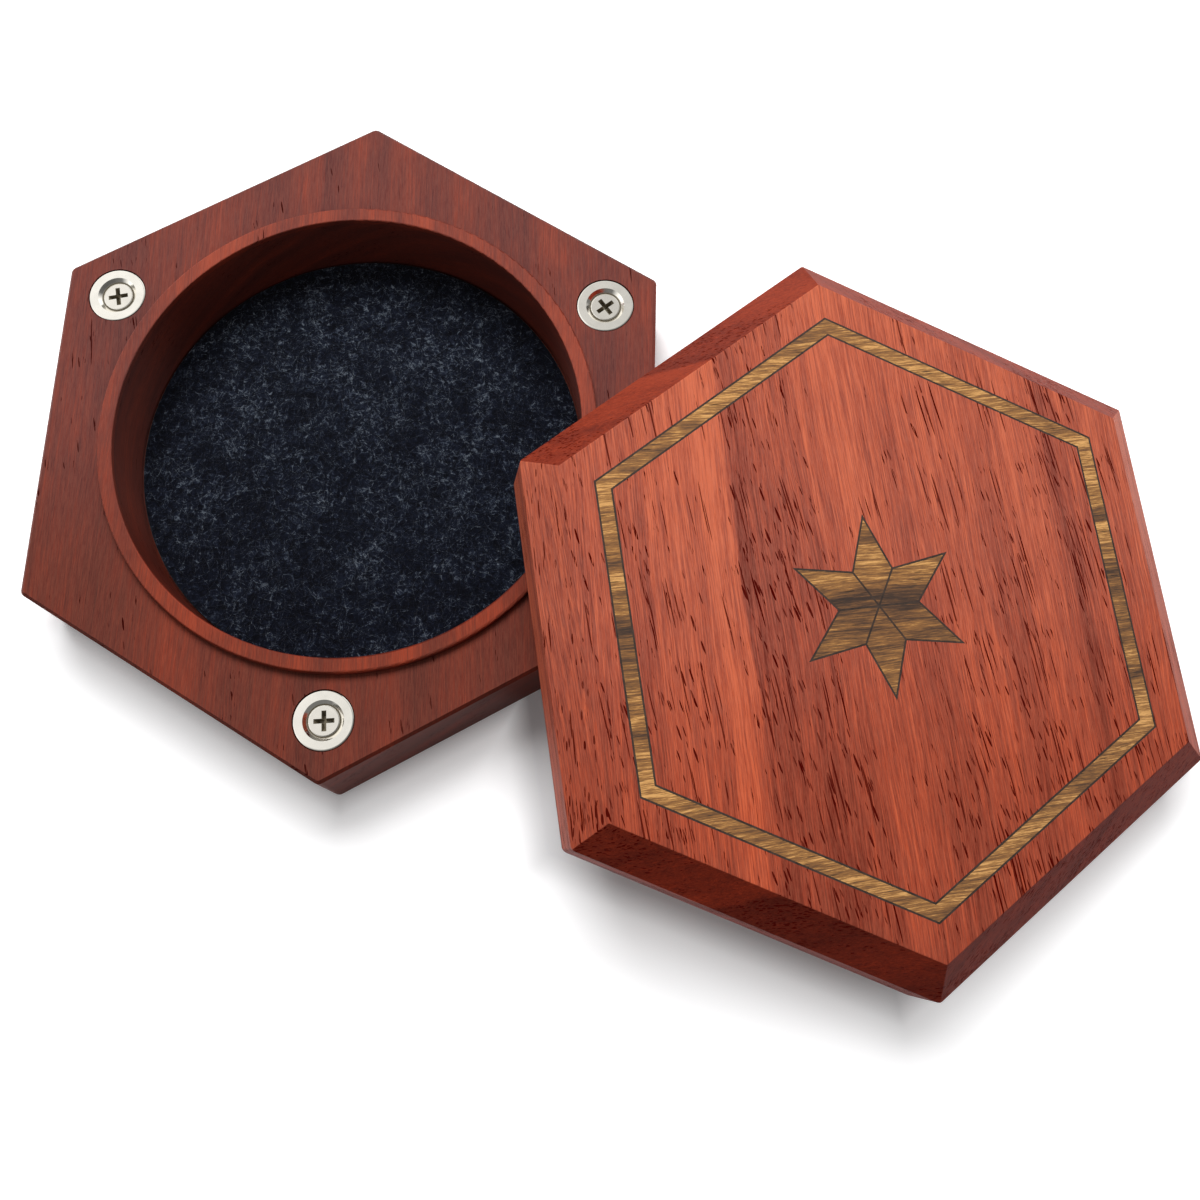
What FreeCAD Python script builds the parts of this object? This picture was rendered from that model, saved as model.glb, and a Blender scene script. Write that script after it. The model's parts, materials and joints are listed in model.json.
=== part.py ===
"""Hexagonal dice chest: a milled hardwood base with a round felted well, and a
lift-off lid of the same outline held shut by three pairs of screwed ring magnets.

Frame: origin at the centre of the base's underside, +Z up, +Y through a corner.
The lid is stored as it lies in use, leaning with one side on the base's lip and
one corner on the table. Millimetres throughout."""

import FreeCAD, Part
import math
import os
from FreeCAD import Placement, Rotation, Vector

# ---- driving dimensions: both hardwood blocks
ACROSS_FLATS = 101.6        # 4 in between opposite flat sides
BLOCK_HEIGHT = 15.9         # 5/8 in board
CORNER_EASE = 1.2           # rounding of the six upright corners
ARRIS = 0.5                 # bevel that takes the sharpness off an edge
SANDED = 0.25               # rounding that sanding leaves on a finer edge
SKIN = 3.2                  # wood left under the well, and over the lid's hollow
WELL_RADIUS = 38.9
WELL_FLOOR_ROUND = 0.3      # left by the cutter's rounded corner

# ---- the base's lip and felt
LIP_RADIUS = 41.4
LIP_RISE = 1.5
LIP_ROUND = 0.4
FELT_RADIUS = 38.5
FELT_THICKNESS = 1.2

# ---- the lid
CHAMFER = 5.1               # 45 degree chamfer round the top
LIP_CLEARANCE = 0.4         # radial play of the lip in the lid's rebate
REBATE_DEPTH = 1.9
INLAY_DEPTH = 1.6           # 1/16 in veneer and strip stock
GLUE_WIDTH = 0.30
BAND_INSET = 10.0           # from a flat side to the band's outer edge
BAND_WIDTH = 2.7
STAR_TIP = 14.5
STAR_SHOULDER = 6.6

# ---- magnets and screws, the same in both blocks
MAGNET_RADIUS = 4.88        # ring magnet of about 9.8 mm
MAGNET_THICKNESS = 3.2
MAGNET_EDGE = 0.30          # its rounded edges
MAGNET_AT = 48.6            # distance from the centre, on a corner's line
SEAT_RADIUS = 4.96
SINK_RADIUS = 3.28          # mouth of the 90 degree countersink
MAGNET_HOLE_RADIUS = 1.75
HEAD_RADIUS = 2.58          # no. 4 flat-head screw
HEAD_DROP = 0.52            # head's face below the magnet's face
HEAD_RIM = 0.16             # its rounded rim
HEAD_CONE = 1.50
SCREW_LENGTH = 9.5
THREAD_RADIUS = 1.40
CORE_RADIUS = 1.00
THREAD_PITCH = 1.06
PILOT_RADIUS = 1.45
RECESS_DEPTH = 1.20
RECESS_SPAN = 3.3
RECESS_WIDTH = 0.75
RECESS_TAPER = 0.35         # how much a wing narrows at each end on its way down
MAGNET_CORNERS = (5, 1, 3)  # alternate corners, counted clockwise from +Y
BASE_SCREW_TURNS = (12.0, 38.0, 5.0)
LID_SCREW_TURNS = (27.0, 61.0, 80.0)

# ---- how the lid leans on the base
LEAN = 9.71                 # tilt of the lid, degrees
LEAN_TOWARDS = -14.14       # compass of its low side, from +X
LID_SPIN = 24.05            # turn about its own axis before it is tilted
LID_CENTRE = Vector(82.46, -29.81, 9.87)    # centre of the lid's underside

CORNER_RADIUS = ACROSS_FLATS / math.sqrt(3)
UP = Vector(0, 0, 1)


def polar(radius, angle, z=0.0):
    """Point at a radius and a compass angle in degrees, from +X."""
    a = math.radians(angle)
    return Vector(radius * math.cos(a), radius * math.sin(a), z)


def corner(k, radius, z=0.0):
    """Point on the line to corner k, counted clockwise from +Y."""
    return polar(radius, 90 - 60 * k, z)


def prism(points, z, height):
    """Upright prism on a closed outline of points."""
    base = [Vector(p.x, p.y, z) for p in points]
    return Part.Face(Part.makePolygon(base + base[:1])).extrude(Vector(0, 0, height))


def hexagon(radius):
    return [corner(k, radius) for k in range(6)]


def cylinder(radius, z, height, centre=Vector(0, 0, 0)):
    return Part.makeCylinder(radius, height, Vector(centre.x, centre.y, z))


def revolved(profile):
    """Solid of revolution about Z from (radius, z) points."""
    points = [Vector(r, 0, z) for r, z in profile]
    face = Part.Face(Part.makePolygon(points + points[:1]))
    return face.revolve(Vector(0, 0, 0), UP, 360)


def eased_outline():
    """The hexagonal block's outline, as a tall prism with rounded upright edges."""
    block = prism(hexagon(CORNER_RADIUS), 0, BLOCK_HEIGHT)
    upright = [e for e in block.Edges if abs(e.tangentAt(e.FirstParameter).z) > 0.9]
    return block.makeFillet(CORNER_EASE, upright)


def edges_at(shape, z):
    """Edges that lie wholly in the plane at height z."""
    return [e for e in shape.Edges if abs(e.BoundBox.ZMin - z) < 1e-6 and abs(e.BoundBox.ZMax - z) < 1e-6]


def drum(radius, z, height, ease_at, ease):
    """Cylinder with one end rounded over, to cut a pocket or make the lip."""
    shape = cylinder(radius, z, height)
    return shape.makeFillet(ease, edges_at(shape, ease_at))


def seats(face_z, inwards):
    """Magnet seats and pilot holes to cut. inwards is -1 from a top face, 1 from an underside."""
    cuts = []
    for k in MAGNET_CORNERS:
        seat = Part.makeCylinder(SEAT_RADIUS, MAGNET_THICKNESS, corner(k, MAGNET_AT, face_z), UP * inwards)
        depth = HEAD_DROP + SCREW_LENGTH + 0.5
        pilot = Part.makeCylinder(PILOT_RADIUS, depth, corner(k, MAGNET_AT, face_z), UP * inwards)
        cuts.append(seat.fuse(pilot))
    return cuts


def make_base_block():
    block = eased_outline()
    block = block.makeChamfer(ARRIS, edges_at(block, 0) + edges_at(block, BLOCK_HEIGHT))
    lip_top = BLOCK_HEIGHT + LIP_RISE
    block = block.fuse(drum(LIP_RADIUS, SKIN, lip_top - SKIN, lip_top, LIP_ROUND))
    well = drum(WELL_RADIUS, SKIN, BLOCK_HEIGHT, SKIN, WELL_FLOOR_ROUND)
    block = block.cut(well)
    mouth = [e for e in edges_at(block, lip_top) if abs(e.Curve.Radius - WELL_RADIUS) < 1e-6]
    block = block.makeFillet(SANDED, mouth)
    return block.cut(seats(BLOCK_HEIGHT, -1)).removeSplitter()


def make_lid_block():
    """Lid in its own frame: underside at z = 0, top at z = BLOCK_HEIGHT."""
    shoulder = BLOCK_HEIGHT - CHAMFER
    top_radius = CORNER_RADIUS - CHAMFER / math.cos(math.radians(30))
    body = prism(hexagon(CORNER_RADIUS), 0, shoulder)
    low = Part.makePolygon([corner(k % 6, CORNER_RADIUS, shoulder) for k in range(7)])
    high = Part.makePolygon([corner(k % 6, top_radius, BLOCK_HEIGHT) for k in range(7)])
    block = body.fuse(Part.makeLoft([low, high], True, True)).removeSplitter()
    above = [e for e in block.Edges if e.BoundBox.ZMax > shoulder - 1e-6 and e.BoundBox.ZMin > 1e-6]
    block = block.makeFillet(SANDED, above).common(eased_outline())
    block = block.makeChamfer(ARRIS, edges_at(block, 0))
    rebate = cylinder(LIP_RADIUS + LIP_CLEARANCE, -1, REBATE_DEPTH + 1)
    ceiling = BLOCK_HEIGHT - SKIN
    hollow = drum(WELL_RADIUS, -1, ceiling + 1, ceiling, WELL_FLOOR_ROUND)
    inlay_floor = BLOCK_HEIGHT - INLAY_DEPTH
    groove = ring(band_radius(0), band_radius(BAND_WIDTH), inlay_floor)
    star = prism(star_outline(), inlay_floor, INLAY_DEPTH)
    return block.cut([rebate, hollow, groove, star] + seats(0, 1)).removeSplitter()


def band_radius(inwards):
    """Corner radius of the hexagon a distance inwards from the band's outer edge."""
    return CORNER_RADIUS - (BAND_INSET + inwards) / math.cos(math.radians(30))


def ring(outer, inner, z):
    """Hexagonal ring, one inlay thick."""
    return prism(hexagon(outer), z, INLAY_DEPTH).cut(prism(hexagon(inner), z, INLAY_DEPTH))


def star_outline():
    """Six-pointed star: tips on the corner lines, shoulders half way between."""
    return [polar(STAR_TIP if i % 2 == 0 else STAR_SHOULDER, 90 - 30 * i) for i in range(12)]


def inset(points, distances):
    """Moves each side of a clockwise outline inwards by its own distance."""
    moved = []
    for i, start in enumerate(points):
        along = (points[(i + 1) % len(points)] - start).normalize()
        inwards = Vector(along.y, -along.x, 0)
        moved.append((start + inwards * distances[i], along))
    return [crossing(moved[i - 1], moved[i]) for i in range(len(points))]


def crossing(line_a, line_b):
    """Point where two lines, each a point and a direction in the XY plane, meet."""
    (p, u), (q, v) = line_a, line_b
    across = u.x * v.y - u.y * v.x
    reach = ((q.x - p.x) * v.y - (q.y - p.y) * v.x) / across
    return p + u * reach


def make_star_point(k):
    """One kite of the star: half a glue line from its neighbours, a full one from the lid."""
    kite = [Vector(0, 0, 0), polar(STAR_SHOULDER, 120 - 60 * k), corner(k, STAR_TIP), polar(STAR_SHOULDER, 60 - 60 * k)]
    half = GLUE_WIDTH / 2
    return prism(inset(kite, [half, GLUE_WIDTH, GLUE_WIDTH, half]), BLOCK_HEIGHT - INLAY_DEPTH, INLAY_DEPTH)


def make_inlay():
    """Band, star and the dark glue that fills the gaps round them, in the lid's frame."""
    floor = BLOCK_HEIGHT - INLAY_DEPTH
    steps = [0, GLUE_WIDTH, BAND_WIDTH - GLUE_WIDTH, BAND_WIDTH]
    names = ["band_glue_outer", "band_inlay", "band_glue_inner"]
    pieces = {n: ring(band_radius(a), band_radius(b), floor) for n, a, b in zip(names, steps, steps[1:])}
    points = {f"star_point_{k + 1}": make_star_point(k) for k in range(6)}
    pieces.update(points)
    pieces["star_glue"] = prism(star_outline(), floor, INLAY_DEPTH).cut(list(points.values()))
    return pieces


def make_magnet():
    """Ring magnet, face at z = 0 and body below, with a countersunk hole."""
    bottom = -MAGNET_THICKNESS
    sink_end = MAGNET_HOLE_RADIUS - SINK_RADIUS
    bend = [(MAGNET_RADIUS - MAGNET_EDGE + MAGNET_EDGE * math.sin(math.radians(a)),
             MAGNET_EDGE * math.cos(math.radians(a)) - MAGNET_EDGE) for a in (0, 22.5, 45, 67.5, 90)]
    return revolved([(SINK_RADIUS, 0)] + bend + [(r, bottom - z) for r, z in reversed(bend)]
                    + [(MAGNET_HOLE_RADIUS, bottom), (MAGNET_HOLE_RADIUS, sink_end)])


def make_screw():
    """Flat-head screw, head's face at z = -HEAD_DROP, point downwards."""
    top = -HEAD_DROP
    neck = top - HEAD_RIM - HEAD_CONE
    tip = top - SCREW_LENGTH
    profile = [(0, top), (HEAD_RADIUS - 1.6 * HEAD_RIM, top), (HEAD_RADIUS - 0.5 * HEAD_RIM, top - 0.35 * HEAD_RIM),
               (HEAD_RADIUS, top - HEAD_RIM), (CORE_RADIUS, neck)]
    turns = int((neck - tip - 2.0) / THREAD_PITCH)
    for i in range(turns):
        z = neck - 0.4 - i * THREAD_PITCH
        profile += [(CORE_RADIUS, z), (THREAD_RADIUS, z - 0.4), (CORE_RADIUS, z - 0.8)]
    profile += [(CORE_RADIUS, tip + 1.6), (0, tip)]
    screw = revolved(profile)
    return screw.cut(cross_recess(top)).removeSplitter()


def cross_recess(top):
    """Tapered cross that a driver fits."""
    wings = []
    for turn in (0, 90):
        def outline(span, width, z):
            half, side = span / 2, width / 2
            points = [Vector(x, y, z) for x, y in ((-half, -side), (half, -side), (half, side), (-half, side))]
            return Part.makePolygon(points + points[:1])
        low_span = RECESS_SPAN - 4 * RECESS_TAPER
        low_width = RECESS_WIDTH - RECESS_TAPER
        wing = Part.makeLoft([outline(RECESS_SPAN, RECESS_WIDTH, top),
                              outline(low_span, low_width, top - RECESS_DEPTH)], True, True)
        wing.rotate(Vector(0, 0, 0), UP, turn)
        wings.append(wing)
    return wings[0].fuse(wings[1])


def fixings(prefix, turns, face_z, flip):
    """The three magnets and their screws, flush with a block's face."""
    pieces = {}
    for i, (k, turn) in enumerate(zip(MAGNET_CORNERS, turns), start=1):
        facing = Rotation(Vector(1, 0, 0), 180) if flip else Rotation()
        place = Placement(corner(k, MAGNET_AT, face_z), facing.multiply(Rotation(UP, turn)))
        for kind, piece in (("magnet", make_magnet()), ("screw", make_screw())):
            piece.Placement = place
            pieces[f"{prefix}_{kind}_{i}"] = piece
    return pieces


def lid_placement():
    lean = Rotation(UP, LEAN_TOWARDS).multiply(Rotation(Vector(0, 1, 0), LEAN))
    return Placement(LID_CENTRE, lean.multiply(Rotation(UP, LID_SPIN)))


def main():
    base = {"base_block": make_base_block(), "tray_felt": cylinder(FELT_RADIUS, SKIN, FELT_THICKNESS)}
    base.update(fixings("base", BASE_SCREW_TURNS, BLOCK_HEIGHT, False))
    lid = {"lid_block": make_lid_block()}
    lid.update(make_inlay())
    lid.update(fixings("lid", LID_SCREW_TURNS, 0, True))
    for piece in lid.values():
        piece.Placement = lid_placement().multiply(piece.Placement)
    os.makedirs("parts", exist_ok=True)
    for name, shape in {**base, **lid}.items():
        shape.exportStep(f"parts/{name}.step")
        print(f"{name}: {shape.Volume:.1f} mm3, {len(shape.Solids)} solid, valid {shape.isValid()}")


main()
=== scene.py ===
# %% [markdown]
# # A hexagonal dice chest
# The chest is two blocks of padauk, a red hardwood. The base has a round well with felt on
# its floor, and the lid, which leans on it, has a hexagonal band and a star of golden wood
# let into its top. Ring magnets, held by countersunk screws, shut the two together.
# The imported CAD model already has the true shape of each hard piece, so this script gives
# those pieces their finishes, and makes the one soft piece, the felt, from scratch.

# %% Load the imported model
import json
import math

import bpy
import numpy as np
from mathutils import Matrix, Vector


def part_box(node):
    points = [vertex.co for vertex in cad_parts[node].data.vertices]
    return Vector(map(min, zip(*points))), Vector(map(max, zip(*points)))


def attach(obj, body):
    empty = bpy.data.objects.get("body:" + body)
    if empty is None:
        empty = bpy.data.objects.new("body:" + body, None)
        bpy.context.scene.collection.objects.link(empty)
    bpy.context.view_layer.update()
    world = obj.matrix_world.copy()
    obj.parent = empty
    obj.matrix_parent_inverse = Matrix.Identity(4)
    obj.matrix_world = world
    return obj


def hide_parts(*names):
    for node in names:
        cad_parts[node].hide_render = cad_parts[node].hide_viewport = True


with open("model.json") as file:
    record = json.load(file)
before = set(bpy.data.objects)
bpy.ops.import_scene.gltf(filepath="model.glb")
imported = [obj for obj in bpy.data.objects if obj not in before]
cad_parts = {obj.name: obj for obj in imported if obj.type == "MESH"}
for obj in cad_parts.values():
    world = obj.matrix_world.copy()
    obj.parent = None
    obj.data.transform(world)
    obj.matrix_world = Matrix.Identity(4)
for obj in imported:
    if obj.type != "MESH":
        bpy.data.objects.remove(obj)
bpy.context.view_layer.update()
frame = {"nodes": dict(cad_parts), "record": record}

nodes = frame["nodes"]

# %% [markdown]
# ## The camera
# The chest stands on a table, and is seen from above and a little in front. The eye is only
# 20 cm over the table, so the near half looks larger than the far one.

# %% Camera
MM = 0.001
data = bpy.data.cameras.new("camera")
data.sensor_width = 36.0
data.lens = 36.195
data.clip_start = 0.005
camera = bpy.data.objects.new("camera", data)
camera.location = (0.045481, -0.078563, 0.202200)
camera.rotation_euler = [math.radians(a) for a in (15.1946, 0.4344, 1.6008)]
bpy.context.scene.collection.objects.link(camera)
bpy.context.scene.camera = camera
print("the camera looks down from", round(camera.location.z * 1000), "mm")

# %% [markdown]
# ## Shader maths as plain expressions
# A procedural material is a sum of patterns. Written as nodes, each plus sign is a node and
# two links. Here one small class wraps a socket, so that an expression such as
# 1 - mask * 0.5 adds its own Math nodes. Every other kind of node comes from one method.


# %% Wire, a socket that can be added and multiplied
class Wire:
    """An output socket, or at the start of a chain the node tree itself. Arithmetic on it adds
    Math nodes, and node() adds any other node."""

    def __init__(self, socket):
        self.socket = socket

    def node(self, kind, settings=(), inputs=(), out=0):
        """A new node: its settings first, then the values or wires of its sockets."""
        tree = self.socket
        if isinstance(tree, bpy.types.NodeSocket):
            tree = tree.id_data
        made = tree.nodes.new("ShaderNode" + kind)
        for name, value in dict(settings).items():
            if name == "stops":
                set_stops(made.color_ramp, value)
            else:
                setattr(made, name, value)
        for name, value in dict(inputs).items():
            if isinstance(value, Wire):
                tree.links.new(made.inputs[name], value.socket)
            else:
                made.inputs[name].default_value = value
        return Wire(made.outputs[out])

    def other(self, out):
        """Another output of the node that this wire leaves."""
        return Wire(self.socket.node.outputs[out])

    def math(self, operation, *values):
        """A Math node on wires and numbers."""
        return self.node("Math", {"operation": operation}, dict(enumerate(values)))

    def __add__(self, other):
        return self.math("ADD", self, other)

    def __mul__(self, other):
        return self.math("MULTIPLY", self, other)

    def __sub__(self, other):
        return self.math("SUBTRACT", self, other)

    def __rsub__(self, other):
        return self.math("SUBTRACT", other, self)

    __radd__ = __add__
    __rmul__ = __mul__

    def capped(self):
        """This wire, or 1 where it is more."""
        return self.math("MINIMUM", self, 1.0)

    def step(self, low, high):
        """0 below low, 1 above high, and a smooth rise between them."""
        return self.node("MapRange", {"interpolation_type": "SMOOTHSTEP"},
                         {"Value": self, "From Min": low, "From Max": high})

    def ramp(self, stops, easing="LINEAR"):
        """A colour for each value from 0 to 1: stops are (place, colour or grey level)."""
        return self.node("ValToRGB", {"stops": (easing, stops)}, {"Fac": self})

    def mix(self, other, share, blend="MIX"):
        """This colour with that share of the other one."""
        return self.node("Mix", {"data_type": "RGBA", "blend_type": blend},
                         {0: share, 6: self, 7: other}, out=2)


def set_stops(ramp, value):
    """Fills a colour ramp: the easing, then (place, colour or grey level) from left to right."""
    ramp.interpolation, stops = value
    while len(ramp.elements) < len(stops):
        ramp.elements.new(1.0)
    for element, (place, colour) in zip(ramp.elements, stops):
        element.position = place
        element.color = (*colour, 1) if isinstance(colour, tuple) else (colour,) * 3 + (1,)


print("a wire can now be added, multiplied, stepped, ramped and mixed")


# %% Helpers that most finishes share
def begin(name):
    """A new material, its Principled shader, and a wire to start node chains from."""
    material = bpy.data.materials.new(name)
    material.use_nodes = True
    shader = material.node_tree.nodes["Principled BSDF"]
    return material, shader, Wire(material.node_tree)


def plug(shader, **sockets):
    """Joins wires to, or sets values on, a shader's sockets; base_color is Base Color."""
    for name, value in sockets.items():
        socket = shader.inputs[name.replace("_", " ").title().replace("Ior", "IOR")]
        if isinstance(value, Wire):
            shader.id_data.links.new(socket, value.socket)
        else:
            socket.default_value = value


def blend(material, shader, other, share):
    """The surface becomes a mix of its shader and another one."""
    mixed = other.node("MixShader", (), {0: share, 1: Wire(shader.outputs[0]), 2: other})
    surface = material.node_tree.nodes["Material Output"].inputs["Surface"]
    material.node_tree.links.new(surface, mixed.socket)


def places(wire, placing):
    """Object coordinates in millimetres, in a piece's own axes: placing is (origin, turn)."""
    origin, turn = placing
    spot = wire.node("TexCoord", out=3)
    return wire.node("Mapping", {"vector_type": "TEXTURE"},
                     {"Vector": spot, "Location": origin, "Rotation": turn, "Scale": (MM,) * 3})


def join(x, y, z):
    """One vector from three wires."""
    return x.node("CombineXYZ", (), {0: x, 1: y, 2: z})


def split(p):
    """The three parts of a vector."""
    x = p.node("SeparateXYZ", (), {0: p})
    return x, x.other(1), x.other(2)


def scaled(p, size, shift=0.0):
    """p divided by a size in millimetres along each axis, then shifted."""
    return p.node("VectorMath", {"operation": "MULTIPLY_ADD"},
                  {0: p, 1: tuple(1 / s for s in size), 2: (shift,) * 3})


def cloud(p, size, detail=2.0, roughness=0.5, shift=0.0):
    """Noise about 0, from -0.5 to 0.5, whose blobs measure size millimetres along x, y, z."""
    fac = p.node("TexNoise", (), {"Vector": scaled(p, size, shift), "Scale": 1.0,
                                  "Detail": detail, "Roughness": roughness})
    return fac - 0.5


def pits(p, size, shift=0.0):
    """Stretched cells: the distance to each cell's centre, and three random numbers for it."""
    cell = p.node("TexVoronoi", (), {"Vector": scaled(p, size, shift), "Scale": 1.0})
    return cell, split(cell.other(1))


print("the helpers are ready")

# %% [markdown]
# ## Each block's own axes
# Grain belongs to the board that a block was cut from, so it must follow the block, however
# it lies. The base lies square in the model. The lid leans, so its axes come from its three
# magnets: two of them give the direction across, and the third gives the grain's direction.


# %% Find the lid's axes from its magnets
def middle(node):
    """The centre of a piece's box, in metres."""
    low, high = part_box(node)
    return (low + high) / 2


MAGNET_MID = 1.6  # the magnets' middle is this far above the lid's underside, in millimetres
m1, m2, m3 = (middle(f"lid_magnet_{i}") for i in (1, 2, 3))
centre = (m1 + m2 + m3) / 3
across = (m2 - m1).normalized()
along = (centre - m3).normalized()
up = across.cross(along)
turn = Matrix((across, along, up)).transposed().to_euler()
LID = (centre - up * MAGNET_MID * MM, turn)
BASE = (Vector((0, 0, 0)), Matrix.Identity(3).to_euler())
print("the lid leans", round(math.degrees(up.angle(Vector((0, 0, 1)))), 2), "degrees")

# %% [markdown]
# ## Padauk
# Padauk is orange-red when cut and darkens to purple-brown. Three things make it look like
# itself: streaks that run the length of the board and wander a little, fine fibre lines,
# and open pores, which show as dark dashes along the grain and as dots on the end grain.
# A flat wood picture would break at each edge. Here every pattern is solid: it is worked out
# from the place in the block, so a streak on the top goes on down the sloping edge.


# %% Padauk
BLOCK_TOP = 15.9  # both blocks are this thick, in millimetres, and z starts at their underside
TILT = 2.0        # the growth layers slant: they move this far sideways for each step down
BOARD = 104       # the streaks span this many millimetres across a board
MATT = 0.037      # oiled wood mirrors little, so its Specular IOR Level is low


def padauk(name, placing, streaks, palette, lean, seed, crowding, calm, oiled, figure, fade):
    """Solid padauk. Along x, the position across the board, streaks give a level from 0, dark,
    to 1, bright: level = streaks(x') + broad, middle and fine noise + fade y, with
    x' = x + lean y - tilt (z - top) + slow bends. The fade y term is painted light: it makes
    the wood brighter towards +y, the window's side, and darker towards the near side. The
    level picks a colour from the palette, painted glints of short fibres lighten it, end grain
    lowers it, the lip's top is paler, and painted shade darkens its green and blue towards -y,
    the side away from the window, so that it reddens there. Pores are thin cells along the
    grain, long ones in broken lines and short ones in the dark wood, kept where crowding
    allows and fewer within a few millimetres of x = calm. Figure is how much of the noise runs
    in lines rather than patches, and oiled is the roughness."""
    material, shader, start = begin(name)
    p = places(start, placing)
    x, y, z = split(p)
    depth = z - BLOCK_TOP
    bend = cloud(p, (30, 90, 9), 1, shift=seed) * 5 + cloud(p, (6, 30, 3), 1, shift=seed) * 1.3
    bend = bend + cloud(p, (1.6, 9, 1.6), 1, shift=seed) * 0.3
    x = x + lean * y - TILT * depth + bend
    board = join(x, y, z)

    # the level: streaks, then noise from broad to fine
    level = (x * (1 / BOARD) + 0.5).ramp(streaks, "EASE")
    level = level + cloud(board, (3.2, 120, 3.2), 2, shift=seed) * 0.4 * figure
    level = level + cloud(board, (8, 28, 8), 2, shift=seed) * 0.35
    level = level + cloud(board, (3.5, 9, 3.5), 2, 0.6, shift=seed + 1) * (1 - figure)
    level = level + cloud(board, (0.6, 50, 0.9), 3, 0.8, shift=seed) * 1.2 * figure
    fibre = cloud(board, (0.17, 7, 0.22), 3, 0.75, shift=seed)
    # painted light: y * fade makes the wood brighter towards +y, the window's side, and darker
    # towards the near side
    level = level + fibre * 2.0 * figure + y * fade + depth.step(0.25, 0.6) * 0.28

    # the colour: end grain is where a face looks along the board
    along = Vector((0, 1, 0))
    along.rotate(placing[1])
    facing = start.node("TexCoord", out=1)
    end_grain = facing.node("VectorMath", {"operation": "DOT_PRODUCT"},
                            {0: facing, 1: along}, out=1)
    end_grain = end_grain.math("ABSOLUTE", end_grain).step(0.25, 0.62)
    colour = level.ramp(palette)
    # painted highlight: pale glints of short fibres are painted into the colour
    painted_glint = cloud(board, (0.17, 2.2, 0.2), 3, 0.8, shift=seed + 5).step(-0.3, 0.3)
    colour = colour.mix((0.95, 0.42, 0.30, 1), painted_glint * 0.16 * figure)
    colour = colour.mix((0.46, 0.26, 0.20, 1), end_grain * (0.4 + 0.6 * figure), "MULTIPLY")
    # painted shade: green and blue are darkened towards -y, the near side away from the window
    colour = colour.mix((1, 0.80, 0.66, 1), y.step(10, -32), "MULTIPLY")

    # the pores: each is a long cell, kept or dropped by its own random number
    off_calm = (x - calm).math("ABSOLUTE", x - calm).step(5, 11)
    crowd = cloud(p, (9, 24, 9), 1, shift=seed + 7) * 1.3 + crowding + off_calm * 0.3
    slanted = join(x + y * 0.10, y, z)
    near, (size, keep, shade) = pits(slanted, (0.40, 15.0, 0.44), seed)
    broken = cloud(p, (0.5, 1.6, 0.5), 1, shift=seed + 2).step(-0.24, -0.18)
    long_pore = (0.25 + size * 0.15 - near).step(0.0, 0.04) * broken
    chance = crowd + 0.15 * figure - 0.15 - (level - 0.5) * 0.2
    long_pore = long_pore * (chance - keep).step(0.0, 0.04)
    slanted = join(x + y * 0.22, y, z)
    near, (size, keep, faint) = pits(slanted, (0.50, 3.8, 0.55), seed + 3)
    short_pore = (0.22 + size * 0.17 - near).step(0.0, 0.05) * (0.7 + faint * 0.3)
    short_pore = short_pore * (crowd + (0.45 - level) * 1.1 - keep).step(0.0, 0.05)
    hole = start.math("MAXIMUM", long_pore * (0.8 + shade * 0.2), short_pore)

    # the finish: fibres stand a little proud, and pores are small pits with no shine
    height = fibre * 0.012 - hole * 0.06
    bump = start.node("Bump", (), {"Height": height, "Distance": MM, "Strength": 0.6})
    plug(shader, base_color=colour, roughness=oiled + fibre * 0.12, normal=bump)
    shader.inputs["Specular IOR Level"].default_value = MATT
    red, green, blue = palette[0][1]
    pore = start.node("BsdfPrincipled", (), {
        "Base Color": (red * 0.5, green * 0.08, blue * 0.05, 1), "Roughness": 0.9,
        "Specular IOR Level": 0.0})
    blend(material, shader, pore, hole)
    return material


def stops(levels):
    """Streaks written as millimetres across the board and level, as places from 0 to 1."""
    return [((x + BOARD / 2) / BOARD, level) for x, level in levels]


LID_STREAKS = stops([
    (-45, .5), (-38.5, .5), (-36, .3), (-33.5, .55), (-29, .64), (-26, .58), (-23, .76),
    (-21.4, .72), (-20.2, .18), (-16, .32), (-11, .36), (-9.2, .26), (-7, .5), (-1, .62), (4, .5),
    (8, .38), (11, .5), (17, .56), (20.5, .38), (26, .62), (31, .45), (33, .25), (36, .5),
    (45, .55)])
LID_PALETTE = [(0.0, (0.155, 0.022, 0.015)), (0.3, (0.287, 0.056, 0.036)),
               (0.6, (0.435, 0.084, 0.044)), (1.0, (0.670, 0.150, 0.070))]
BASE_STREAKS = stops([
    (-48, .45), (-40, .3), (-33, .45), (-25, .6), (-19, .42), (-14, .3), (-9, .55), (-5, .25),
    (0, .5), (4, .35), (8, .6), (12, .3), (19, .5), (27, .35), (35, .6), (42, .4), (48, .5)])
BASE_PALETTE = [(0.0, (0.076, 0.029, 0.030)), (0.35, (0.126, 0.037, 0.034)),
                (0.65, (0.194, 0.045, 0.034)), (1.0, (0.345, 0.066, 0.038))]
lid_padauk = padauk("lid_padauk", LID, LID_STREAKS, LID_PALETTE, lean=-0.03, seed=2.0,
                    crowding=0.06, calm=1, oiled=0.46, figure=1.0, fade=0.004)
base_padauk = padauk("base_padauk", BASE, BASE_STREAKS, BASE_PALETTE, lean=0.03, seed=11.0,
                     crowding=-0.30, calm=99, oiled=0.46, figure=0.55, fade=0.0015)
print("padauk for the lid has", len(lid_padauk.node_tree.nodes), "nodes")

# %% [markdown]
# ## The inlay
# The band and the star are cut from one board of a golden wood with dark brown figure, laid
# with its grain across the lid. So this wood runs along x, and its streaks follow y.


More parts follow.
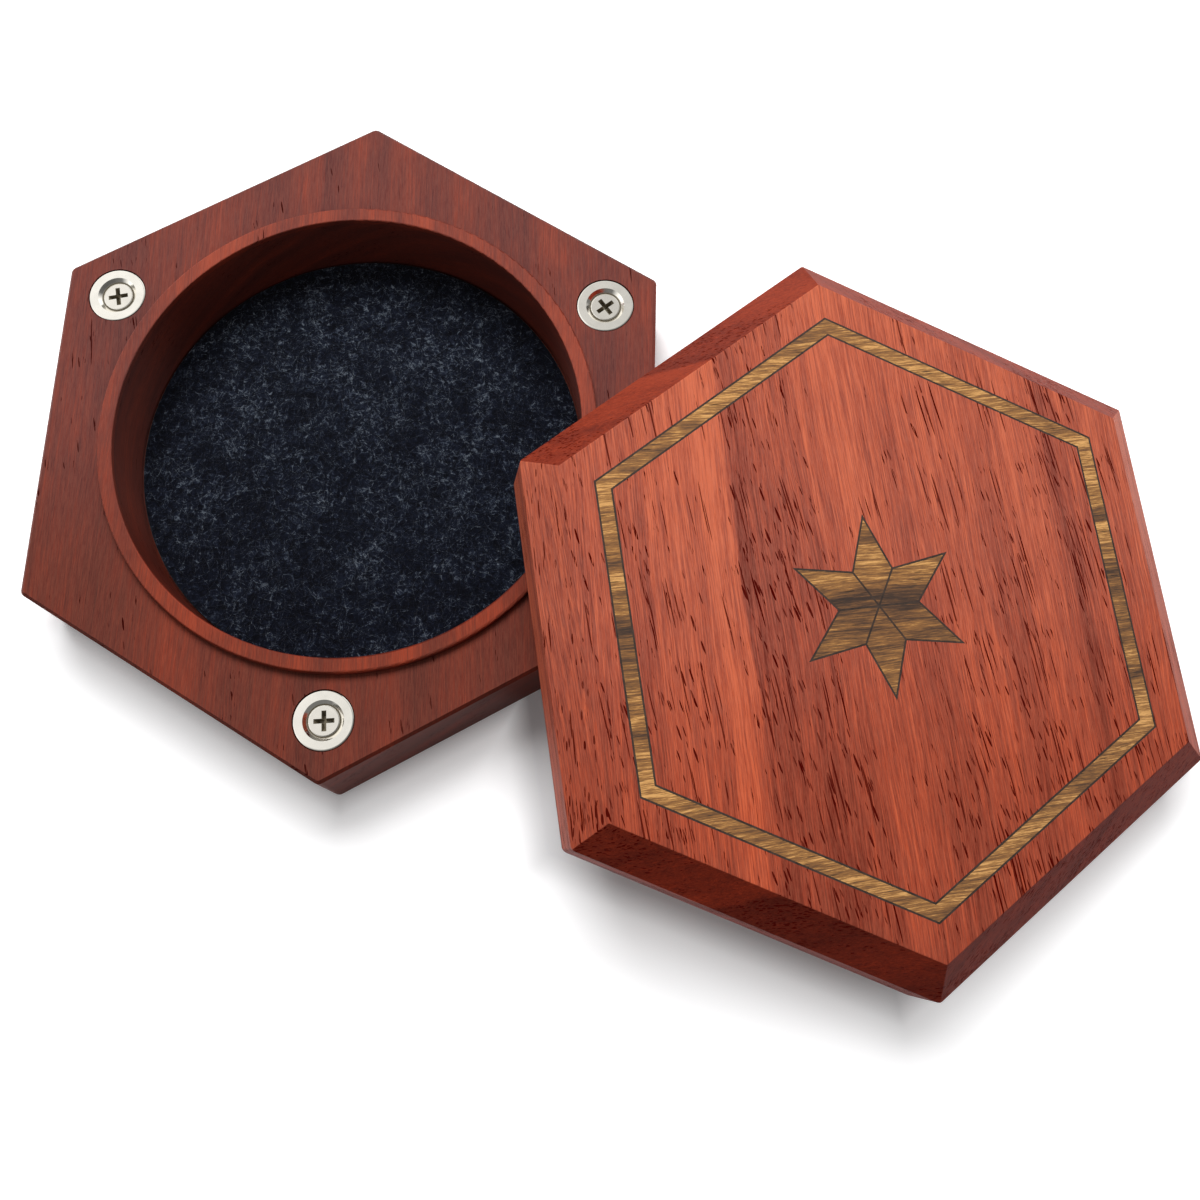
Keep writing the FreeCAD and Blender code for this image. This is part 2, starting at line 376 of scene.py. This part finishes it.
# %% Inlay wood and the glue line round it
GOLDEN_STREAKS = stops([
    (-48, .6), (-36, .75), (-30, .6), (-22, .8), (-16.5, .7), (-15, .3), (-13, .65), (-9, .55),
    (-5, .48), (-1.5, .42), (0.2, .3), (1.2, .1), (2.4, .45), (4.5, .7), (9, .8), (10.6, .25),
    (12.4, .7), (20, .8), (27, .6), (35, .8), (48, .6)])
GOLDEN_PALETTE = [(0.0, (0.046, 0.029, 0.022)), (0.3, (0.116, 0.059, 0.032)),
                  (0.55, (0.239, 0.110, 0.041)), (0.8, (0.406, 0.191, 0.058)),
                  (1.0, (0.783, 0.420, 0.145))]
GLUE_PALETTE = [(0.25, (0.023, 0.0159, 0.0130)), (0.75, (0.067, 0.043, 0.032))]


def inlay_wood(name, placing):
    """Golden wood: level = streaks(y') + noise stretched along x, with y' = y + slow bends."""
    material, shader, start = begin(name)
    p = places(start, placing)
    x, y, z = split(p)
    y = y + cloud(p, (26, 9, 9), 1, shift=4) * 2.2
    board = join(x, y, z)
    level = (y * (1 / BOARD) + 0.5).ramp(GOLDEN_STREAKS, "EASE")
    level = level + cloud(board, (11, 1.0, 1.0), 2, 0.6, 5) * 1.0
    fine = cloud(board, (3.5, 0.17, 0.2), 3, 0.8, 6)
    level = level + fine * 2.2
    colour = level.ramp(GOLDEN_PALETTE)
    near, (size, keep, depth) = pits(board, (4.0, 0.35, 0.4), 9)
    pore = (0.1 + size * 0.18 - near).step(0.0, 0.08) * (0.4 - keep).step(0.0, 0.05)
    colour = colour.mix((0.02, 0.012, 0.006, 1), pore * 0.8)
    height = fine * 0.01 - pore * 0.04
    bump = start.node("Bump", (), {"Height": height, "Distance": MM, "Strength": 0.6})
    plug(shader, base_color=colour, roughness=0.42 + pore * 0.2, normal=bump)
    return material


def glue(name, placing):
    """Dark glue, sanded flush: a charcoal that wood dust makes a little uneven."""
    material, shader, start = begin(name)
    p = places(start, placing)
    colour = (cloud(p, (0.87, 0.87, 0.87), 2) + 0.5).ramp(GLUE_PALETTE)
    plug(shader, base_color=colour, roughness=0.5)
    return material


golden = inlay_wood("golden_inlay", LID)
dark_glue = glue("sanded_glue", LID)
print("the inlay wood has", len(golden.node_tree.nodes), "nodes")

# %% [markdown]
# ## Nickel
# The magnets and the screws are nickel plated. Plating is a bright metal with a faint warm
# tint, blurred by handling. Metal has no colour of its own beyond what it reflects, so it
# shows the room, which is bright behind the chest and darker on the eye's side. In the
# countersinks and the screws' slots a dark film hides the metal: partly grime, and partly
# painted shade where the hollows lie deep under the face.


# %% Nickel for the magnets and the screws
GRIME_AND_SHADE_DEPTH = 0.60  # grime and painted shade cover all that is deeper than this under the face, in millimetres
# the dark film's colour, for grime and for painted shade in the hollows
GRIME_AND_SHADE_TINT = (0.20, 0.17, 0.115, 1)


def nickel(name, placing, face, tint, roughness, bare_depth):
    """Plated metal, whose roughness and tint vary a little. From clean to GRIME_AND_SHADE_DEPTH
    millimetres under the wooden face a dark film, which isn't metal, takes over: partly grime, and
    partly painted shade in the countersinks and slots."""
    material, shader, start = begin(name)
    p = places(start, placing)
    grime = cloud(p, (2.2, 2.2, 2.2), 3, 0.6)
    fine = cloud(p, (0.18, 0.18, 0.18), 2)
    z = split(p)[2]
    depth = z.math("ABSOLUTE", z - face)
    colour = (grime + 0.5).ramp([(0.2, tuple(c * 0.86 for c in tint)), (0.7, tint)])
    # grime and painted shade: a dark film is painted on the metal deeper than clean under the face
    grime_and_shade = (depth + fine * 0.08).step(bare_depth, GRIME_AND_SHADE_DEPTH)
    colour = colour.mix(GRIME_AND_SHADE_TINT, grime_and_shade)
    bump = start.node("Bump", (), {"Height": fine * 0.006, "Distance": MM, "Strength": 0.5})
    plug(shader, base_color=colour, roughness=roughness + grime * 0.16 + grime_and_shade * 0.2, normal=bump,
         metallic=1.0 - grime_and_shade * 0.8)
    return material


# for each body, its placing and the height of the face that its magnets are let into
FACES = {"base": (BASE, BLOCK_TOP), "lid": (LID, 0.0)}
# for each part, its tint, its roughness, and how many millimetres under the face it is
# clean, before grime and painted shade begin
PLATES = {"magnet": ((0.90, 0.865, 0.785), 0.10, 0.44), "screw": ((0.86, 0.82, 0.74), 0.17, 0.54)}
METALS = {}
for body, (placing, face) in FACES.items():
    for part, (tint, roughness, bare_depth) in PLATES.items():
        name = f"{body}_{part}_plate"
        METALS[body, part + "_nickel"] = nickel(name, placing, face, tint, roughness, bare_depth)
print("nickel finishes:", len(METALS))

# %% [markdown]
# ## Dressing the pieces
# The record names the material that each piece is made of, so one loop dresses them all. The
# nickel differs by body too, because its grime and painted shade are measured from the face
# of that body's block.

# %% Give each CAD piece its finish
WOODS = {"lid_wood": lid_padauk, "base_wood": base_padauk, "inlay_wood": golden,
         "dark_glue": dark_glue}
for subpart in frame["record"]["subparts"]:
    node, slot = subpart["node"], subpart["material_slot"]
    finish = WOODS.get(slot) or METALS.get((node.split("_")[0], slot))
    if finish:
        nodes[node].material_slots[0].material = finish

# %% [markdown]
# ## The felt
# The floor of the well is a disc of wool felt, glued down. Its face isn't flat: matted wool
# rises and dips by a tenth of a millimetre or two, its cut edge is rounded, and loose fibres
# lie over it in all directions. The disc is a surface over rings and angles, and the fibres
# are thin three-sided threads that arch over it.

# %% Where the felt lies
low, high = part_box("tray_felt")
FELT_R = (high.x - low.x) / 2
FELT_LOW, FELT_TOP = low.z, high.z
SUNK = 0.12 * MM  # the face's mean height is this far under the top, to leave room for its rises
rng = np.random.default_rng(7)
print("the felt is", round(FELT_R * 2000, 1), "mm across and",
      round((FELT_TOP - FELT_LOW) * 1000, 2), "mm thick")


# %% A helper that puts arrays into a mesh
def surface(name, points, faces, smooth=True):
    """A mesh piece from arrays of points, in metres, and of faces."""
    mesh = bpy.data.meshes.new(name)
    mesh.from_pydata(points.tolist(), [], faces if isinstance(faces, list) else faces.tolist())
    mesh.polygons.foreach_set("use_smooth", np.full(len(mesh.polygons), smooth))
    mesh.update()
    piece = bpy.data.objects.new(name, mesh)
    bpy.context.scene.collection.objects.link(piece)
    print(name, "has", len(mesh.polygons), "faces")
    return piece


# %% The face of the felt
WAVES = [(rng.normal(0, 1, 2) * k, rng.uniform(0, 2 * np.pi), 1 / (1 + k / 900))
         for k in (300, 500, 800, 1200, 1700, 2400) for _ in range(7)]


def nap(x, y):
    """The felt's rise and fall in metres: a sum of 42 sines in random directions, whose waves
    are 2 to 20 mm long, and whose height shrinks with their length."""
    total = sum(a * np.sin(k[0] * x + k[1] * y + t) for k, t, a in WAVES)
    return 0.00005 * total / 2.2


def felt_disc():
    """Rings of points: out over the face, down the rounded edge, and in under the base.
    At a share u of the way along that profile and an angle t, the point is
    (r(u) cos t, r(u) sin t, z(u) + nap), and the nap dies out towards the edge."""
    turns, rings, curve = 300, 74, 5
    edge = 0.00035
    r = list(np.linspace(0.0006, 1, rings) ** 0.9 * (FELT_R - edge))
    z = [FELT_TOP] * rings
    for a in np.linspace(0, np.pi / 2, curve + 1)[1:]:
        r.append(FELT_R - edge + edge * math.sin(a))
        z.append(FELT_TOP - edge + edge * math.cos(a))
    r += [FELT_R, FELT_R * 0.5, FELT_R * 0.02]
    z += [FELT_LOW, FELT_LOW, FELT_LOW]
    r, z = np.array(r), np.array(z)
    t = np.arange(turns) * 2 * np.pi / turns
    x, y = r[:, None] * np.cos(t), r[:, None] * np.sin(t)
    share = np.clip((z - FELT_LOW) / (FELT_TOP - FELT_LOW), 0, 1)
    fade = np.clip((FELT_R - r) / 0.002, 0, 1) * share
    height = z[:, None] - SUNK * share[:, None] + nap(x, y) * fade[:, None]
    points = np.stack([x, y, height], -1).reshape(-1, 3)
    i, j = np.meshgrid(np.arange(len(r) - 1), np.arange(turns), indexing="ij")
    here, there = i * turns + j, i * turns + (j + 1) % turns
    quads = np.stack([here, here + turns, there + turns, there], -1).reshape(-1, 4).tolist()
    last = (len(r) - 1) * turns
    caps = [list(range(turns)), list(range(last + turns - 1, last - 1, -1))]
    return points, quads + caps


felt = surface("tray_felt_cloth", *felt_disc())


# %% Loose fibres that lie over the felt
def threads(count, sides=3, pieces=4):
    """Curved threads. Along u from 0 to 1 the line runs on an arc over the felt, at
    height = nap + arch * 4u(1 - u) - a little, so both ends dip into the wool. Each has three
    sides and closed ends, and its width tapers as sqrt(4u(1 - u))."""
    radius = FELT_R * np.sqrt(rng.random(count)) * 0.975
    around = rng.uniform(0, 2 * np.pi, count)
    start = np.stack([radius * np.cos(around), radius * np.sin(around)], -1)
    length = rng.gamma(4, 0.0007, count) + 0.0008
    heading = rng.uniform(0, 2 * np.pi, count)
    curl = rng.normal(0, 1.1, count)
    u = np.linspace(0, 1, pieces + 1)
    turned = heading[:, None] + curl[:, None] * (u - 0.5)
    step = np.stack([np.cos(turned), np.sin(turned)], -1) * (length / pieces)[:, None, None]
    line = start[:, None] + np.cumsum(step, 1) - step.sum(1, keepdims=True) / 2
    reach = np.linalg.norm(line, axis=-1)
    line *= np.minimum(1, (FELT_R - 0.0003) / reach)[..., None]
    arch = rng.gamma(2, 0.00005, count)[:, None] * 4 * u * (1 - u)
    height = FELT_TOP - SUNK + nap(line[..., 0], line[..., 1]) + arch - 0.00002
    width = rng.uniform(0.000016, 0.000034, count)[:, None] * np.sqrt(0.15 + 4 * u * (1 - u))
    side = np.stack([-np.sin(turned), np.cos(turned)], -1)
    rings = []
    for k in range(sides):
        a = 2 * np.pi * k / sides + np.pi / 6
        flat = line + side * (width * math.cos(a))[..., None]
        rings.append(np.concatenate([flat, (height + width * math.sin(a))[..., None]], -1))
    points = np.stack(rings, 2)
    n = pieces + 1
    index = np.arange(count * n * sides).reshape(count, n, sides)
    after = np.roll(index, -1, 2)
    quads = np.stack([index[:, :-1], after[:, :-1], after[:, 1:], index[:, 1:]], -1).reshape(-1, 4)
    ends = np.concatenate([index[:, 0, ::-1], index[:, -1]]).reshape(-1, sides)
    return points.reshape(-1, 3), quads.tolist() + ends.tolist()


fibres = surface("tray_felt_fibres", *threads(5200))


# %% Wool
WOOL_PALETTE = [(0.0, (0.0012, 0.0016, 0.0038)), (0.4, (0.0039, 0.0054, 0.0116)),
                (0.65, (0.0138, 0.0181, 0.032)), (0.85, (0.061, 0.075, 0.099)),
                (1.0, (0.174, 0.203, 0.239))]


def wool(name, pale):
    """Charcoal wool: a mottle of dark and light over 1 to 6 mm, with fine flecks in it, and
    painted light that makes it lighter towards +y, where the well's wall shades it. pale
    shifts all of it lighter, for the loose fibres."""
    material, shader, start = begin(name)
    p = places(start, BASE)
    tangle = p.node("VectorMath", {"operation": "ADD"}, {0: p, 1: join(
        cloud(p, (1.2, 1.2, 1.2), 2, shift=3) * 2.5,
        cloud(p, (1.2, 1.2, 1.2), 2, shift=9) * 2.5,
        cloud(p, (2, 2, 2)))})
    level = cloud(p, (6, 6, 6), 3, 0.6) * 0.8 + cloud(tangle, (0.4, 1.4, 0.5), 3, 0.7, 1) * 1.9
    level = level + cloud(tangle, (1.4, 0.4, 0.5), 3, 0.7, 6) * 1.9
    # painted light: the wool is made lighter towards +y, where the well's wall shades it
    level = level + split(p)[1] * 0.002 + 0.37 + pale
    colour = level.ramp(WOOL_PALETTE)
    bump = start.node("Bump", (), {"Height": level * 0.12, "Distance": MM, "Strength": 0.7})
    plug(shader, base_color=colour, roughness=0.95, normal=bump)
    shader.inputs["Specular IOR Level"].default_value = 0.15
    shader.inputs["Sheen Weight"].default_value = 0.12
    shader.inputs["Sheen Roughness"].default_value = 0.5
    return material


felt.data.materials.append(wool("charcoal_wool", 0.0))
fibres.data.materials.append(wool("loose_wool", 0.3))
for piece in (felt, fibres):
    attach(piece, "base")
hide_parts("tray_felt")
print("the felt lies on the base, and stands for the CAD model's plain disc")

# %% [markdown]
# ## The floor and the light
# The chest lies on white paper near a big soft window behind it, so its shadow falls
# towards the eye, and the light fades a little from the far side to the near one. Two weak
# windows at the sides light the upright faces, and the room adds a little from all round.
# A lamp that is small or far gives a hard shadow, and a large near one a soft shadow, so the
# windows' sizes set how the shadow fades. The paper is made white to the eye, and to what
# metal mirrors, by a glow that lights nothing: it is weak beside the blocks, where their
# shadow stays, stronger a few millimetres away, and full far off, so that no edge shows.
# The glow's rise with the distance from the blocks' six sides is a painted shadow: it keeps
# the paper darker beside them, also at the lid's resting place when the lid is lifted.

# %% Floor
HALF_WIDTH = 50.8      # from a block's middle to each of its sides, in millimetres
PAPER_Z = -0.05 * MM   # just under the chest, so that no two faces share a place
CORNERS = [(-1, -1), (1, -1), (1, 1), (-1, 1)]
plane = bpy.data.meshes.new("paper")
plane.from_pydata([(x, y, PAPER_Z) for x, y in CORNERS], [], [(0, 1, 2, 3)])
floor = bpy.data.objects.new("paper", plane)
bpy.context.scene.collection.objects.link(floor)


def seen(wire):
    """1 for rays from the eye, and for those from metal or glass, and 0 for the rest."""
    path = wire.node("LightPath", out="Is Camera Ray")
    return (path + path.other("Is Glossy Ray") + path.other("Is Transmission Ray")).capped()


def beside(wire, placing):
    """Millimetres along the paper from a block's six sides: the greatest distance from the
    middle along the three ways that the sides face, less the half width."""
    x, y, _ = split(places(wire, placing))
    widest = x.math("ABSOLUTE", x)
    for way in (60, 120):
        reach = x * math.cos(math.radians(way)) + y * math.sin(math.radians(way))
        widest = wire.math("MAXIMUM", widest, reach.math("ABSOLUTE", reach))
    return widest - HALF_WIDTH


FAR = 400           # the glow is full this far from the blocks, in millimetres
BASE_PAINTED_SHADOW = 1.5   # the glow's painted shadow is narrower beside the base than beside the leaning lid, by this much
# painted shadow: the glow starts low beside the blocks' sides and rises with the distance from them
GLOW_AND_PAINTED_SHADOW = [(0.0, 0.04), (0.005, 0.15), (0.012, 0.38), (0.022, 0.50), (0.1, 0.65), (1.0, 1.0)]
paper, shader, start = begin("paper")
away = start.math("MINIMUM", beside(start, LID), beside(start, BASE) + BASE_PAINTED_SHADOW)
glow = seen(start) * (away * (1 / FAR)).ramp(GLOW_AND_PAINTED_SHADOW)
plug(shader, base_color=(0.92, 0.92, 0.93, 1), roughness=1.0, emission_color=join(glow, glow, glow),
     emission_strength=1.0)
shader.inputs["Specular IOR Level"].default_value = 0.0
floor.data.materials.append(paper)
print("the paper's glow has", len(GLOW_AND_PAINTED_SHADOW), "steps out to", FAR, "mm")

# %% [markdown]
# ## The room
# The eye sees a white background. What the metal mirrors is a room of its own: bright behind
# and to the left, dim in front, and darker overhead. All else gets a weak even light from it.

# %% World
ROOM_LIGHT = 0.13  # the light that the room lays on everything
world = bpy.data.worlds.new("room")
bpy.context.scene.world = world
world.use_nodes = True
back = world.node_tree.nodes["Background"]
start = Wire(world.node_tree)
path = start.node("LightPath", out="Is Camera Ray")
glossy = path.other("Is Glossy Ray")
direction = split(start.node("TexCoord", out=0))
bright_side = direction[1] - direction[0] * 0.7
room = bright_side.node("MapRange", (), {"Value": bright_side, "From Min": -0.38, "From Max": 0.3,
                                         "To Min": 0.20, "To Max": 1.4})
overhead = direction[2].step(0.3, 0.75)
room = room * (1.0 - overhead * (0.2 + direction[0].step(-0.45, 0.15) * 0.35))
shown = (path + path.other("Is Transmission Ray")).capped()
strength = shown + (1 - shown) * (glossy * room + (1 - glossy) * ROOM_LIGHT)
world.node_tree.links.new(back.inputs["Strength"], strength.socket)
back.inputs["Color"].default_value = (1, 1, 1, 1)
print("the room lays", ROOM_LIGHT, "on everything")


# %% Windows
AIM = Vector((0.045, -0.015, 0.01))  # between the two blocks


def window(name, towards, height, level, wide, tall, distance):
    """A soft lamp that faces the chest: towards is its compass angle from +X in degrees, height
    its angle above the floor, and level what it lays on a sheet that faces it, where 1 shows a
    colour as it is written. A small lamp of P watts lays P / (pi d^2) there, and one of some
    size about P / (pi (d^2 + (w^2 + h^2) / 12))."""
    lamp = bpy.data.lights.new(name, "AREA")
    lamp.shape, lamp.size, lamp.size_y = "RECTANGLE", wide, tall
    spread = distance ** 2 + (wide ** 2 + tall ** 2) / 12
    lamp.energy = level * math.pi * math.pi * spread
    holder = bpy.data.objects.new(name, lamp)
    holder.visible_glossy = False
    a, h = math.radians(towards), math.radians(height)
    way = Vector((math.cos(a) * math.cos(h), math.sin(a) * math.cos(h), math.sin(h)))
    holder.location = AIM + way * distance
    holder.rotation_euler = way.to_track_quat("Z", "Y").to_euler()
    bpy.context.scene.collection.objects.link(holder)
    return level * math.sin(h)


total = window("back_window", 100, 56, 1.0, 0.7, 0.5, 0.9) + ROOM_LIGHT
total += window("right_window", 350, 22, 0.18, 0.7, 0.7, 0.7)
total += window("left_window", 218, 20, 0.14, 0.7, 0.7, 0.7)
print("light on the floor:", round(total, 2))

# %% [markdown]
# ## Colours
# The Standard view shows colours as they are written.

bpy.context.scene.view_settings.view_transform = "Standard"
